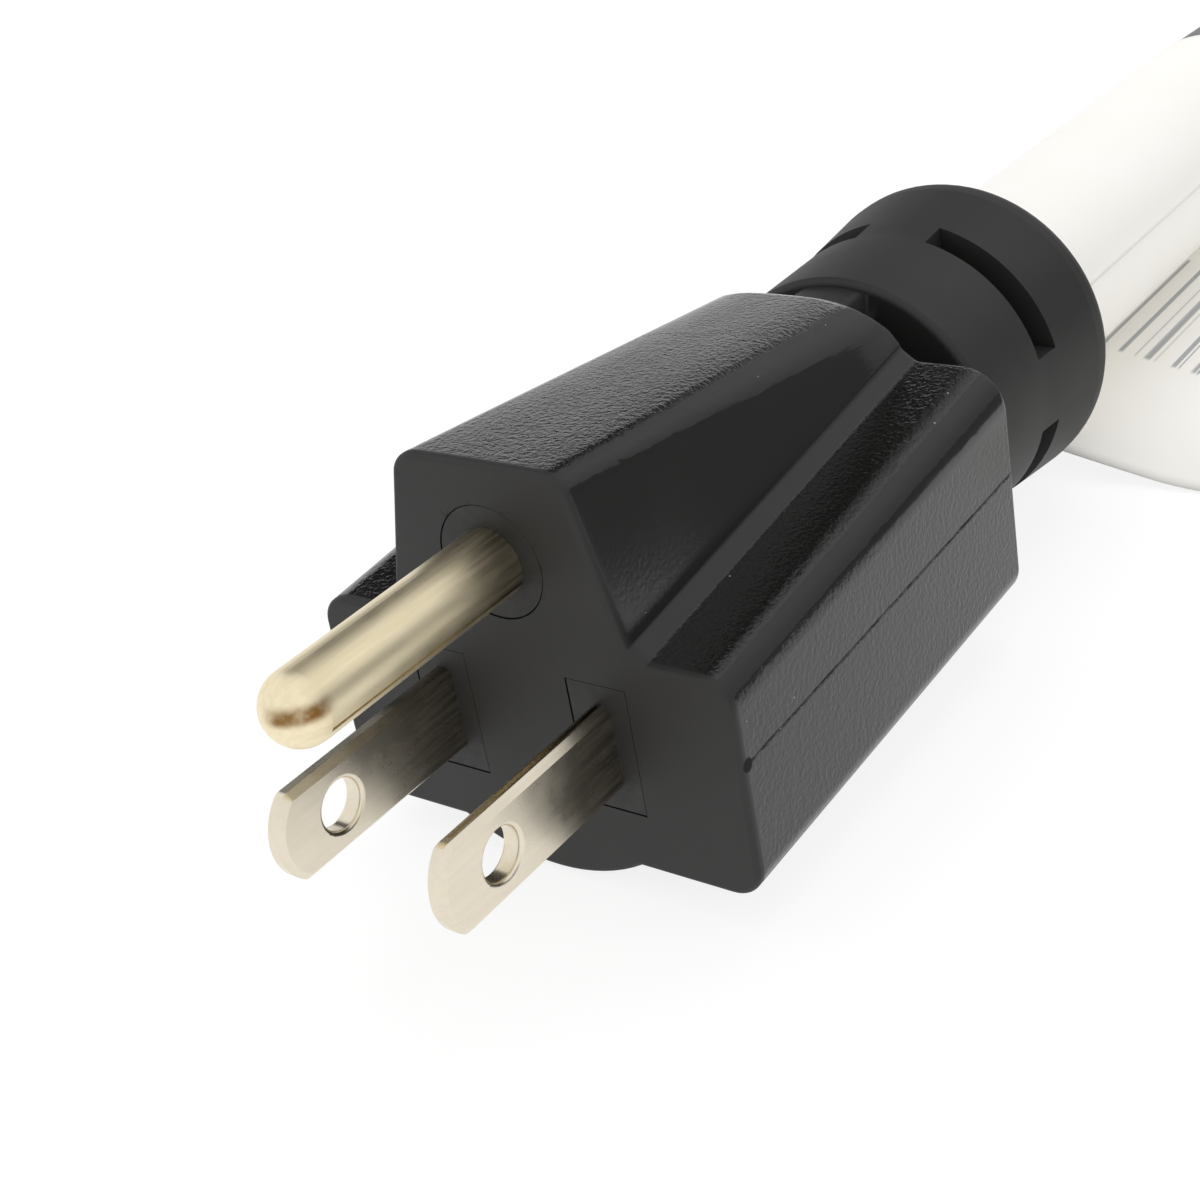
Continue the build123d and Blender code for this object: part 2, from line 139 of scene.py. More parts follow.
# %% Helpers for new mesh pieces
def finished_piece(bm, name, smooth_angle=40):
    """Makes a bmesh an object that rides on the part."""
    mesh = bpy.data.meshes.new(name)
    bm.to_mesh(mesh)
    bm.free()
    mesh.shade_smooth()
    mesh.set_sharp_from_angle(angle=math.radians(smooth_angle))
    piece = bpy.data.objects.new(name, mesh)
    bpy.context.scene.collection.objects.link(piece)
    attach(piece, "root")
    return piece


def edge_chain(bm, points):
    """Joins points with edges in order."""
    verts = [bm.verts.new(p) for p in points]
    return [bm.edges.new(pair) for pair in zip(verts, verts[1:])]


# %% Draw the label's edge line
film = 0.1 * MM
wrap_radius = cord_radius + 0.03 * MM + film / 2
lap_radius = wrap_radius + 1.2 * film
lap_edge_angle = math.radians(77)
flag_leaves_angle = math.radians(-168)
flag_droop = math.radians(12)
flag_floor = film / 2 + 0.06 * MM
flag_bend = 30 * MM
flag_end_x = label_high.x - 0.2 * MM


def on_wrap(radius, angle):
    """A point of the wrap, the angle counted clockwise from the top, seen from the prongs."""
    return Vector((radius * math.sin(angle), label_low.y, axis_height + radius * math.cos(angle)))


def turn(start, end, count, radius):
    """Points along the wrap from one angle to another."""
    return [on_wrap(radius, start + (end - start) * i / count) for i in range(count + 1)]


under_wrap = turn(0, 2 * math.pi, 72, wrap_radius)
lap = turn(lap_edge_angle, flag_leaves_angle, 64, lap_radius)
print("lap turns through", round(math.degrees(lap_edge_angle - flag_leaves_angle)), "degrees")

# %% [markdown]
# The flag leaves the wrap along its tangent, runs straight down at its droop angle, and eases onto
# the floor in one wide bend. The bend starts where a circle that touches both lines would touch the
# first one.

# %% Draw the flag and extrude the sheet
heading = Vector((math.cos(flag_droop), 0, -math.sin(flag_droop)))
leave = lap[-1]
to_floor = (leave.z - flag_floor) / math.sin(flag_droop)
bend_start = to_floor - flag_bend * math.tan(flag_droop / 2)
upward = Vector((math.sin(flag_droop), 0, math.cos(flag_droop)))
bend_centre = leave + heading * bend_start + upward * flag_bend
straight = [leave + heading * (bend_start * i / 10) for i in range(1, 11)]
eased = [
    bend_centre - flag_bend * Vector((math.sin(a), 0, math.cos(a)))
    for a in [flag_droop * (1 - i / 6) for i in range(1, 7)]
]
flat_start = eased[-1].x
laid_step = (flag_end_x - flat_start) / 8
laid = [Vector((flat_start + laid_step * i, label_low.y, flag_floor)) for i in range(1, 9)]
edge_line = lap + straight + eased + laid
label_length = label_high.y - label_low.y
length_steps = 40
sheet = bmesh.new()
chains = edge_chain(sheet, under_wrap[:-1]) + edge_chain(sheet, edge_line)
for step in range(length_steps):
    pulled = bmesh.ops.extrude_edge_only(sheet, edges=chains)["geom"]
    moved = [g for g in pulled if isinstance(g, bmesh.types.BMVert)]
    bmesh.ops.translate(sheet, verts=moved, vec=(0, label_length / length_steps, 0))
    chains = [g for g in pulled if isinstance(g, bmesh.types.BMEdge)]

# %% [markdown]
# Film never lies quite flat. A slow sine wave lifts the flag by less than a millimetre, most at its
# free edge, and the wrap stays tight on the cord. Solidify gives the layers the film's thickness.

# %% Wave the flag and give the sheet its thickness
flag_wave = 0.35 * MM
wave_length = 31 * MM
for vert in sheet.verts:
    edge_share = min(1, max(0, (vert.co.x - cord_radius) / (flag_end_x - cord_radius)))
    if vert.co.z < axis_height - cord_radius:
        along = 2 * math.pi * (vert.co.y - label_low.y) / wave_length
        vert.co.z += flag_wave * edge_share**2 * (1 + math.sin(along + 0.6))
bmesh.ops.recalc_face_normals(sheet, faces=sheet.faces)
label = finished_piece(sheet, "flag_label")
thickness = label.modifiers.new("film_thickness", "SOLIDIFY")
thickness.thickness = film
thickness.offset = 0
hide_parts("label")
print("label", [round(c / MM, 1) for c in label.dimensions])

# %% [markdown]
# ## The hump's shoulders
# Soft PVC sinks as it cools, and most where the moulding is thick. So the top of the hump isn't flat:
# towards the rear its sides roll off, and the hard edge is lost. A Bevel can't follow the solid's own
# rounding, and a bump in the material would leave the outline flat. So a copy of the body is cut into a
# fine grid there, and the grid is let down.

# %% Cut a grid into a copy of the plug's body
hump_front_top, hump_rear_top = plug_high.z, 26.9 * MM
foot_front, foot_rear = 19.4 * MM, 23.1 * MM
body_length = body_rear - face_y
foot_rise = (foot_rear - foot_front) / body_length
weld = 0.001 * MM
across_step, lengthwise_cuts = 0.7 * MM, 20


def above_foot(spot):
    """How far a point is above the line along which the hump meets its strip."""
    return spot.z - foot_front - foot_rise * (spot.y - face_y)


def is_hump(face):
    """Whether a face is part of the hump, apart from its rear end."""
    is_ahead = max(v.co.y for v in face.verts) < body_rear + 0.02 * MM
    return is_ahead and face.normal.y < 0.9 and above_foot(face.calc_center_median()) > 0


def cut_hump(bm, direction, places):
    """Cuts the hump's top and flanks along parallel planes."""
    for place in places:
        hump = [f for f in bm.faces if is_hump(f)]
        edges = list(dict.fromkeys(e for f in hump for e in f.edges))
        verts = list(dict.fromkeys(v for f in hump for v in f.verts))
        geom = hump + edges + verts
        bmesh.ops.bisect_plane(bm, geom=geom, dist=weld, plane_co=place, plane_no=direction)


body = bmesh.new()
body.from_mesh(nodes["plug_body"].data)
bmesh.ops.remove_doubles(body, verts=body.verts, dist=weld)
stations = [face_y + body_length * i / lengthwise_cuts for i in range(1, lengthwise_cuts)]
cut_hump(body, Vector((0, -foot_rise, 1)), [Vector((0, face_y, foot_front))])
cut_hump(body, Vector((1, 0, 0)), [Vector((across_step * i, 0, 0)) for i in range(-13, 14)])
cut_hump(body, Vector((0, 1, 0)), [Vector((0, y, 0)) for y in stations])
cut_hump(body, Vector((0, 0, 1)), [Vector((0, 0, z * MM)) for z in range(20, 30)])
print("faces after the cuts", len(body.faces))

# %% [markdown]
# Each point of the grid sinks by a share of one depth. The share grows from the hump's middle to its
# sides and from its foot to its top, and the depth grows from the face to the rear. The body's faces
# are of very uneven size, so the shading is weighted by their area, or the small ones would tilt it.

# %% Let the shoulders down
hump_half = 6.5 * MM
sink_front, sink_rear = 0.15 * MM, 1.3 * MM
for vert in body.verts:
    back = (vert.co.y - face_y) / body_length
    height = above_foot(vert.co)
    if back > 1.001 or height <= 0:
        continue
    top = hump_front_top + (hump_rear_top - hump_front_top) * back
    full_height = top - foot_front - foot_rise * (vert.co.y - face_y)
    rise = min(height / full_height, 1.0)
    out = min(abs(vert.co.x) / hump_half, 1.12)
    sink = sink_front + (sink_rear - sink_front) * back**1.3
    vert.co.z -= sink * out**3.5 * rise
plug_moulding = finished_piece(body, "plug_moulding", smooth_angle=30)
shading = plug_moulding.modifiers.new("shading_by_area", "WEIGHTED_NORMAL")
shading.keep_sharp = True
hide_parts("plug_body")
print("plug moulding has", len(plug_moulding.data.polygons), "faces")

# %% [markdown]
# ## Parting flash
# Where the two halves of a mould meet, a little plastic creeps between them and leaves a fine ragged
# line along each side of the plug. A bump in the material would vanish at a low angle, so the line is
# a bead of its own: a long grid, three points wide, whose middle row stands proud as a thin ridge. Each
# step along it is slightly uneven. The line climbs a little from the face to the rear, as the mould's
# halves meet on a slant.

# %% Raise the parting flash on both sides
seam_height = 13.27 * MM
seam_climb = 0.0435
side_front_x = 16.34 * MM
side_rear_x = 16.19 * MM
flash_front = face_y + 1.2 * MM
flash_rear = body_rear - 0.5 * MM
flash_steps = 160
flash_half = 0.06 * MM
flash_proud = 0.05 * MM
flash_sunk = 0.05 * MM
flash_drop = 0.09 * MM


def ragged(index, salt):
    """A steady number from 0 to 1 for each place, so that each run gives the same line."""
    return (math.sin(index * 12.9898 + salt * 78.233) * 43758.5453) % 1


flash = bmesh.new()
for side in (-1, 1):
    strip = bmesh.ops.create_grid(flash, x_segments=flash_steps, y_segments=2, size=1)["verts"]
    for vert in strip:
        step, level = round((vert.co.x + 1) / 2 * flash_steps), round(vert.co.y)
        share = step / flash_steps
        y = flash_front + (flash_rear - flash_front) * share
        x = side_front_x + (side_rear_x - side_front_x) * share
        z = seam_height + seam_climb * y - flash_drop + 0.04 * MM * (ragged(step, side + 3) - 0.5)
        half = flash_half * (0.7 + 0.6 * ragged(step, side + 5))
        proud = flash_proud * (0.2 + 1.3 * ragged(step, side + 7))
        out = -flash_sunk if level else proud
        vert.co = (side * (x + out), y, z + level * half)
bmesh.ops.recalc_face_normals(flash, faces=flash.faces)
parting_flash = finished_piece(flash, "parting_flash", smooth_angle=60)
print("flash faces", len(parting_flash.data.polygons))

# %% [markdown]
# ## Materials
# Each finish starts from what the real surface is. Colours are written as they look, in sRGB hex, and
# one function makes them linear, which is what the shader works in. One small function adds a node
# with its settings and links and gives its outputs, so a material reads as a list of what feeds what.

# %% Colour and node helpers
def linear(hex_colour):
    """An sRGB hex colour as linear RGBA."""
    channels = [int(hex_colour[i:i + 2], 16) / 255 for i in (1, 3, 5)]
    return (*[c / 12.92 if c <= 0.04045 else ((c + 0.055) / 1.055) ** 2.4 for c in channels], 1)


def add_node(tree, kind, inputs=None, **settings):
    """Adds a node, sets its properties, fills each input with a value or a link, gives its outputs."""
    node = tree.nodes.new(kind)
    for name, value in settings.items():
        setattr(node, name, value)
    for name, value in (inputs or {}).items():
        if isinstance(value, bpy.types.NodeSocket):
            tree.links.new(value, node.inputs[name])
        else:
            node.inputs[name].default_value = value
    return node.outputs


def per_mm(millimetres):
    """The texture scale at which a pattern repeats about once in that many millimetres."""
    return 1 / (millimetres * MM)


# %% [markdown]
# Many marks lie only on part of a surface. Such a part is given by limits: a value, the figure at which
# the mark starts and the figure at which it is full. Where all the limits are met the share is one, and
# past any of them it is nought.

# %% Helpers for parts of a surface and for a finish
def within(tree, *limits):
    """How far all the limits are met, from 0 to 1, easing in between each one's start and end."""
    share = 1.0
    for value, start, end in limits:
        inputs = {"Value": value, "From Min": start, "From Max": end}
        met = add_node(tree, "ShaderNodeMapRange", inputs, interpolation_type="SMOOTHSTEP")["Result"]
        share = add_node(tree, "ShaderNodeMath", {0: share, 1: met}, operation="MULTIPLY")["Value"]
    return share


def new_material(name):
    """A material with its node tree, its shader and its object coordinates."""
    material = bpy.data.materials.new(name)
    material.use_nodes = True
    tree = material.node_tree
    place = add_node(tree, "ShaderNodeTexCoord")["Object"]
    return material, tree, tree.nodes["Principled BSDF"], place


def finish_shader(tree, shader, colour, roughness, height, strength, depth):
    """Links a colour, a roughness and a bump of a real depth to the shader."""
    bump = add_node(tree, "ShaderNodeBump", {"Height": height, "Strength": strength, "Distance": depth})
    tree.links.new(colour, shader.inputs["Base Color"])
    tree.links.new(roughness, shader.inputs["Roughness"])
    tree.links.new(bump["Normal"], shader.inputs["Normal"])


def dress(material, *names):
    """Gives a material to nodes of the frame or to new pieces."""
    for name in names:
        piece = nodes.get(name) or bpy.data.objects[name]
        if piece.material_slots:
            piece.material_slots[0].material = material
        else:
            piece.data.materials.append(material)
    print(material.name, "on", ", ".join(names))


# %% [markdown]
# ### Moulded PVC
# The plug is flexible PVC, injection moulded in a tool whose flat flanks were blasted to a leather
# grain. The face, the collar, the slanted strips and the rounded corners came from smooth steel. To
# the eye that is a soft black with a clear sheen, broken into tiny wrinkles on the flanks. So the grain
# is laid where the surface faces straight up or sideways. In the valleys between the hump and the wings
# it is shallower and the sheen is clearer, so that the wings mirror the hump. Shade is painted along the
# mould's seam, wider where the flash has torn, and at a chip at its front end: a near-black line that
# is also rougher.

# %% Work out where the grain and the valleys lie
wing_edge = (17.5 * MM, 18.5 * MM)


def flank_grain(tree, facing, flanks):
    """One on flat flanks, nought on slants and rounded corners."""
    first, second = [
        add_node(tree, "ShaderNodeMath", {0: facing[axis]}, operation="ABSOLUTE")["Value"]
        for axis in flanks
    ]
    flatness = add_node(tree, "ShaderNodeMath", {0: first, 1: second}, operation="MAXIMUM")["Value"]
    return within(tree, (flatness, 0.86, 0.93))


def in_valley(tree, spot, facing):
    """One on the plug's valleys, which are the wings' tops and the hump's flanks."""
    hump_top = within(tree, (facing["Z"], 0.965, 0.985), (spot["Z"], 24 * MM, 25 * MM))
    off_top = add_node(tree, "ShaderNodeMath", {0: 1.0, 1: hump_top}, operation="SUBTRACT")["Value"]
    upper = within(tree, (spot["Z"], *wing_edge))
    return add_node(tree, "ShaderNodeMath", {0: upper, 1: off_top}, operation="MULTIPLY")["Value"]


def plug_grain_depth(tree, spot, facing, valley):
    """How deep the plug's grain is: fairly deep on its sides, shallow on its valleys' steep flanks."""
    low, high = wing_edge
    on_side = {"Value": spot["Z"], "From Min": low, "From Max": high, "To Min": 0.55, "To Max": 0.85}
    on_flank = {"Value": facing["Z"], "From Min": 0.6, "From Max": 0.9, "To Min": 0.06, "To Max": 0.6}
    side_depth, valley_depth = [
        add_node(tree, "ShaderNodeMapRange", inputs, interpolation_type="SMOOTHSTEP")["Result"]
        for inputs in (on_side, on_flank)
    ]
    either = {"Value": valley, "To Min": side_depth, "To Max": valley_depth}
    return add_node(tree, "ShaderNodeMapRange", either, interpolation_type="SMOOTHSTEP")["Result"]


# %% Work out where shade is painted along the seam
def painted_seam_shade(tree, place, spot, facing):
    """Where shade is painted along the mould's seam, and at the chip at its front end."""
    climb = {0: spot["Y"], 1: seam_climb, 2: seam_height}
    line = add_node(tree, "ShaderNodeMath", climb, operation="MULTIPLY_ADD")["Value"]
    drift = add_node(tree, "ShaderNodeTexNoise", {"Vector": place, "Scale": per_mm(1.4)})["Fac"]
    wander = {0: drift, 1: 0.12 * MM, 2: line}
    middle = add_node(tree, "ShaderNodeMath", wander, operation="MULTIPLY_ADD")["Value"]
    above = add_node(tree, "ShaderNodeMath", {0: spot["Z"], 1: middle}, operation="SUBTRACT")["Value"]
    off = add_node(tree, "ShaderNodeMath", {0: above}, operation="ABSOLUTE")["Value"]
    torn = add_node(tree, "ShaderNodeTexNoise", {"Vector": place, "Scale": per_mm(2.2)})["Fac"]
    widths = {"Value": torn, "From Min": 0.5, "From Max": 0.68, "To Min": 0.07 * MM, "To Max": 0.16 * MM}
    half = add_node(tree, "ShaderNodeMapRange", widths, interpolation_type="SMOOTHSTEP")["Result"]
    sideways = add_node(tree, "ShaderNodeMath", {0: facing["X"]}, operation="ABSOLUTE")["Value"]
    on_body = (spot["Y"], body_rear, body_rear - 0.2 * MM)
    shaded_line = within(tree, (off, half, 0.02 * MM), (sideways, 0.9, 0.96), on_body)
    chip_place = Vector((side_front_x, face_y + 0.7 * MM, seam_height + seam_climb * face_y))
    away = add_node(tree, "ShaderNodeVectorMath", {0: place, 1: chip_place}, operation="DISTANCE")["Value"]
    chip = within(tree, (away, 0.6 * MM, 0.4 * MM))
    return add_node(tree, "ShaderNodeMath", {0: shaded_line, 1: chip}, operation="MAXIMUM")["Value"]


# %% [markdown]
# Two smaller marks finish the moulding: a hair-fine witness line that a mould insert left across the
# top of the hump, and a few specks of dust, which are cells of a sparse pattern that the surface
# happens to cut near their middle.

# %% Add the dust and the witness line
def dust_specks(tree, place):
    """One where a speck of dust lies, and nought elsewhere."""
    cells = add_node(tree, "ShaderNodeTexVoronoi", {"Vector": place, "Scale": per_mm(1.7)})
    middle, sparse = {0: cells["Distance"], 1: 0.045}, {0: cells["Color"], 1: 0.72}
    near = add_node(tree, "ShaderNodeMath", middle, operation="LESS_THAN")["Value"]
    few = add_node(tree, "ShaderNodeMath", sparse, operation="GREATER_THAN")["Value"]
    return add_node(tree, "ShaderNodeMath", {0: near, 1: few}, operation="MULTIPLY")["Value"]


def witness_line(tree, spot):
    """A thin groove across the hump, near its rear end."""
    slant = {0: spot["X"], 1: 0.25, 2: 3.85 * MM}
    line = add_node(tree, "ShaderNodeMath", slant, operation="MULTIPLY_ADD")["Value"]
    behind = add_node(tree, "ShaderNodeMath", {0: spot["Y"], 1: line}, operation="SUBTRACT")["Value"]
    off = add_node(tree, "ShaderNodeMath", {0: behind}, operation="ABSOLUTE")["Value"]
    aside = add_node(tree, "ShaderNodeMath", {0: spot["X"]}, operation="ABSOLUTE")["Value"]
    on_hump = (spot["Z"], 25 * MM, 26 * MM)
    return within(tree, (off, 0.1 * MM, 0.0), on_hump, (aside, 5.5 * MM, 3 * MM))


# %% Make the moulded PVC
grain_fade = 0.8 * MM


def moulded_pvc(name, length_axis, flanks, grain, is_plug):
    """Black PVC with leather grain on a moulding's flanks, from one place along it to another."""
    material, tree, shader, place = new_material(name)
    spot = add_node(tree, "ShaderNodeSeparateXYZ", {"Vector": place})
    normal = add_node(tree, "ShaderNodeNewGeometry")["Normal"]
    facing = add_node(tree, "ShaderNodeSeparateXYZ", {"Vector": normal})
    along, (start, end) = spot[length_axis], grain
    in_reach = within(tree, (along, start, start + grain_fade), (along, end, end - grain_fade))
    grained = {0: flank_grain(tree, facing, flanks), 1: in_reach}
    strength = add_node(tree, "ShaderNodeMath", grained, operation="MULTIPLY")["Value"]
    wrinkles = {"Vector": place, "Scale": per_mm(0.36), "Distortion": 0.4}
    height = add_node(tree, "ShaderNodeTexNoise", wrinkles)["Fac"]
    dusty = {"Factor": dust_specks(tree, place), "A": linear("#181817"), "B": linear("#8c8c88")}
    colour = add_node(tree, "ShaderNodeMix", dusty, data_type="RGBA")["Result"]
    soft = {"Vector": place, "Scale": per_mm(6.0), "Detail": 4.0}
    cloud = add_node(tree, "ShaderNodeTexNoise", soft)["Fac"]
    sheen = {"Value": strength, "From Min": 0.0, "From Max": 0.5, "To Min": 0.55, "To Max": 0.19}
    satin = add_node(tree, "ShaderNodeMapRange", sheen, interpolation_type="SMOOTHSTEP")["Result"]
    clouded = {0: cloud, 1: 0.1, 2: satin}
    roughness = add_node(tree, "ShaderNodeMath", clouded, operation="MULTIPLY_ADD")["Value"]
    if is_plug:
        seam_shade = painted_seam_shade(tree, place, spot, facing)
        # Painted shade: the seam's line and the chip are coloured near black, as if in shadow, and are
        # made rougher.
        shaded = {"Factor": seam_shade, "A": colour, "B": linear("#080808")}
        colour = add_node(tree, "ShaderNodeMix", shaded, data_type="RGBA")["Result"]
        rougher = {0: roughness, 1: seam_shade}
        roughness = add_node(tree, "ShaderNodeMath", rougher, operation="MAXIMUM")["Value"]
        grooved = {0: witness_line(tree, spot), 1: -0.8, 2: height}
        height = add_node(tree, "ShaderNodeMath", grooved, operation="MULTIPLY_ADD")["Value"]
        valley = in_valley(tree, spot, facing)
        shallower = {0: strength, 1: plug_grain_depth(tree, spot, facing, valley)}
        strength = add_node(tree, "ShaderNodeMath", shallower, operation="MULTIPLY")["Value"]
        clear = add_node(tree, "ShaderNodeMath", {0: valley, 1: in_reach}, operation="MULTIPLY")["Value"]
        clearer = {0: clear, 1: -0.09, 2: roughness}
        roughness = add_node(tree, "ShaderNodeMath", clearer, operation="MULTIPLY_ADD")["Value"]
    finish_shader(tree, shader, colour, roughness, height, strength, 0.09 * MM)
    shader.inputs["IOR"].default_value = 1.53
    return material


plug_grain = (face_y + 0.4 * MM, body_rear + 0.4 * MM)
outlet_grain = (outlet_low.x + relief_length, outlet_high.x - 1.0 * MM)
plug_pvc = moulded_pvc("moulded_pvc_plug", "Y", ("X", "Z"), plug_grain, True)
outlet_pvc = moulded_pvc("moulded_pvc_outlet", "X", ("Y", "Z"), outlet_grain, False)
dress(plug_pvc, "plug_moulding")
dress(outlet_pvc, "outlet_body")

# %% [markdown]
# ### Insert and jacket PVC
# The insert round the prongs and the outlet's core are a harder, smoother PVC from a polished tool.
# The cord's jacket is extruded, so what texture it has runs along it: faint die lines and a slight
# ripple where the conductors press out from under it. The flash is the plug's own PVC, but smooth.

# %% Make the smooth PVC
def smooth_pvc(name, dark, light, roughness, drawn=(1, 1, 1)):
    """PVC with a soft cloudy finish, its pattern drawn out along the axes with small scales."""
    material, tree, shader, place = new_material(name)
    drawn_out = add_node(tree, "ShaderNodeMapping", {"Vector": place, "Scale": drawn})["Vector"]
    soft = {"Vector": drawn_out, "Scale": per_mm(0.8), "Detail": 4.0}
    cloud = add_node(tree, "ShaderNodeTexNoise", soft)["Fac"]
    tones = {"Factor": cloud, "A": linear(dark), "B": linear(light)}
    colour = add_node(tree, "ShaderNodeMix", tones, data_type="RGBA")["Result"]
    least, most = roughness - 0.06, roughness + 0.06
    sheen = {"Value": cloud, "From Min": 0.25, "From Max": 0.75, "To Min": least, "To Max": most}
    varied = add_node(tree, "ShaderNodeMapRange", sheen, interpolation_type="SMOOTHSTEP")["Result"]
    finish_shader(tree, shader, colour, varied, cloud, 0.35, 0.02 * MM)
    shader.inputs["IOR"].default_value = 1.53
    return material


insert_pvc = smooth_pvc("insert_pvc", "#161615", "#1a1a19", 0.58)
flash_pvc = smooth_pvc("flash_pvc", "#20201f", "#262625", 0.36)
jacket_pvc = smooth_pvc("extruded_jacket_pvc", "#1c1c1d", "#242425", 0.4, (1, 0.05, 1))
dress(insert_pvc, "prong_insert", "outlet_core")
dress(flash_pvc, "parting_flash")
dress(jacket_pvc, "cord_jacket")

# %% [markdown]
# ### Nickel-plated brass
# The prongs are stamped and rolled from brass strip and plated with nickel, which the warm metal under
# it tints towards champagne. Drawing leaves fine streaks along the prong, and handling dulls the plating
# in soft patches. Near the face, shade is painted into the colour: the streaks darken over the last
# 8 mm before the face. On the ground prong, brass shows through as an amber band where the plating has
# worn beside the tip.

# %% Make the plated prongs
def amber_band(tree, place, spot):
    """Where the plating has worn through beside the ground prong's tip."""
    band_height = 24.1 * MM
    above = add_node(tree, "ShaderNodeMath", {0: spot["Z"], 1: band_height}, operation="SUBTRACT")["Value"]
    off = add_node(tree, "ShaderNodeMath", {0: above}, operation="ABSOLUTE")["Value"]
    worn = within(
        tree,
        (off, 0.75 * MM, 0.15 * MM),
        (spot["Y"], -38.2 * MM, -39.6 * MM),
        (spot["X"], -0.9 * MM, 0.6 * MM),
    )
    soft = {"Vector": place, "Scale": per_mm(1.2), "Detail": 3.0}
    cloud = add_node(tree, "ShaderNodeTexNoise", soft)["Fac"]
    patchy = {"Value": cloud, "From Min": 0.3, "From Max": 0.6, "To Min": 0.55, "To Max": 0.95}
    share = add_node(tree, "ShaderNodeMapRange", patchy, interpolation_type="SMOOTHSTEP")["Result"]
    return add_node(tree, "ShaderNodeMath", {0: worn, 1: share}, operation="MULTIPLY")["Value"]


def plated_brass(name, dark, light, roughness, has_band):
    """Nickel over brass, streaked along the prong."""
    material, tree, shader, place = new_material(name)
    spot = add_node(tree, "ShaderNodeSeparateXYZ", {"Vector": place})
    drawn_out = add_node(tree, "ShaderNodeMapping", {"Vector": place, "Scale": (1, 0.06, 1)})["Vector"]
    fine = {"Vector": drawn_out, "Scale": per_mm(0.35), "Detail": 5.0}
    streaks = add_node(tree, "ShaderNodeTexNoise", fine)["Fac"]
    soft = {"Vector": place, "Scale": per_mm(3.5), "Detail": 4.0}
    patches = add_node(tree, "ShaderNodeTexNoise", soft)["Fac"]
    tones = {"Factor": within(tree, (streaks, 0.35, 0.65)), "A": linear(dark), "B": linear(light)}
    colour = add_node(tree, "ShaderNodeMix", tones, data_type="RGBA")["Result"]
    # Painted shade: over the last 8 mm before the face, the colour darkens in the streaks.
    near_face = within(tree, (spot["Y"], face_y - 8 * MM, face_y))
    streaked = {"Value": streaks, "From Min": 0.35, "From Max": 0.65, "To Min": 0.8, "To Max": 0.5}
    depth = add_node(tree, "ShaderNodeMapRange", streaked, interpolation_type="SMOOTHSTEP")["Result"]
    face_shade = add_node(tree, "ShaderNodeMath", {0: near_face, 1: depth}, operation="MULTIPLY")["Value"]
    face_shaded = {"Factor": face_shade, "A": colour, "B": linear("#5c5448")}
    colour = add_node(tree, "ShaderNodeMix", face_shaded, data_type="RGBA")["Result"]
    if has_band:
        banded = {"Factor": amber_band(tree, place, spot), "A": colour, "B": linear("#7d5413")}
        colour = add_node(tree, "ShaderNodeMix", banded, data_type="RGBA")["Result"]
    least, most = roughness - 0.04, roughness + 0.04
    dulled = {"Value": patches, "From Min": 0.3, "From Max": 0.7, "To Min": least, "To Max": most}
    varied = add_node(tree, "ShaderNodeMapRange", dulled, interpolation_type="SMOOTHSTEP")["Result"]
    finish_shader(tree, shader, colour, varied, streaks, 0.35, 0.003 * MM)
    shader.inputs["Metallic"].default_value = 1.0
    return material


blade_metal = plated_brass("nickel_plated_blade", "#e0d7c4", "#e4dbc8", 0.28, False)
pin_metal = plated_brass("nickel_plated_pin", "#ebdebc", "#f2e5c5", 0.4, True)
dress(blade_metal, "line_blade", "neutral_blade")
dress(pin_metal, "ground_pin")

# %% [markdown]
# ### Label film
# The label is coated white film with a soft gloss. Its print is a plain field of pale grey bars of
# uneven width that run along the cord, on the upper side of the flag, with soft edges as a worn
# thermal print has.

# %% Make the label film
def label_film(name, ink_low, ink_high):
    """White film with a field of inked bars between two corners of the floor plan."""
    material, tree, shader, place = new_material(name)
    spot = add_node(tree, "ShaderNodeSeparateXYZ", {"Vector": place})
    lines = add_node(tree, "ShaderNodeMapping", {"Vector": place, "Scale": (1, 0, 0)})["Vector"]
    bars = add_node(tree, "ShaderNodeTexNoise", {"Vector": lines, "Scale": per_mm(0.9)})["Fac"]
    edge = 0.4 * MM
    field = within(
        tree,
        (bars, 0.5, 0.57),
        (spot["X"], ink_low.x - edge, ink_low.x + edge),
        (spot["X"], ink_high.x + edge, ink_high.x - edge),
        (spot["Y"], ink_low.y - edge, ink_low.y + edge),
        (spot["Y"], ink_high.y + edge, ink_high.y - edge),
    )
    low = add_node(tree, "ShaderNodeMath", {0: spot["Z"], 1: ink_high.z}, operation="LESS_THAN")["Value"]
    inked = add_node(tree, "ShaderNodeMath", {0: field, 1: low}, operation="MULTIPLY")["Value"]
    ink = add_node(tree, "ShaderNodeMath", {0: inked, 1: 0.8}, operation="MULTIPLY")["Value"]
    soft = {"Vector": place, "Scale": per_mm(9.0), "Detail": 3.0}
    cloud = add_node(tree, "ShaderNodeTexNoise", soft)["Fac"]
    tones = {"Factor": cloud, "A": linear("#fffefb"), "B": linear("#fdfaf3")}
    film_colour = add_node(tree, "ShaderNodeMix", tones, data_type="RGBA")["Result"]
    printed = {"Factor": ink, "A": film_colour, "B": linear("#8d9096")}
    colour = add_node(tree, "ShaderNodeMix", printed, data_type="RGBA")["Result"]
    gloss = {"Value": cloud, "From Min": 0.3, "From Max": 0.7, "To Min": 0.34, "To Max": 0.44}
    roughness = add_node(tree, "ShaderNodeMapRange", gloss, interpolation_type="SMOOTHSTEP")["Result"]
    finish_shader(tree, shader, colour, roughness, cloud, 0.3, 0.15 * MM)
    return material


print_low = Vector((3, 61.5, 0)) * MM
print_high = Vector((20, 84, 4.4)) * MM
dress(label_film("printed_label_film", print_low, print_high), "flag_label")

# %% [markdown]
# ### Hidden metal and wires
# Inside the mouldings are stranded copper, coloured PVC insulation and stamped brass contacts. Only
# the contacts can be seen, down the outlet's entries, but each still gets its own finish: a twist of
# strands for the copper, a soft cloud for the insulation and brushed streaks for the brass.

